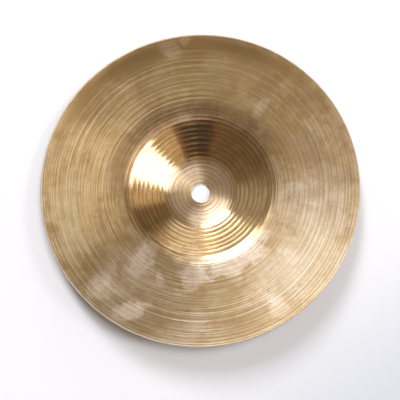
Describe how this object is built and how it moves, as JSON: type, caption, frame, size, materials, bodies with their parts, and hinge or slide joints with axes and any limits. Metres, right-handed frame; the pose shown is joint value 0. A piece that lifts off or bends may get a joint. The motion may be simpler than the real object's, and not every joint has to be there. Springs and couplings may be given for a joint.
{
  "type": "splash cymbal",
  "caption": "Small thin cymbal turned from one disc of bronze, with a domed bell, a shallow bow that thins towards its edge, and a plain centre hole that hangs it on a stand.",
  "frame": {"origin": "on the cymbal's axis, level with the foot of the edge that it rests on when laid down bell up", "axes": "+Z along the axis, out of the top of the bell; X and Y lie in the plane of the edge"},
  "size_m": [0.2032, 0.2032, 0.02],
  "materials": {
    "bronze": "turned on both faces in concentric passes, unlacquered, lightly tarnished"
  },
  "bodies": {
    "root": {"cymbal": "bronze"}
  },
  "joints": []
}
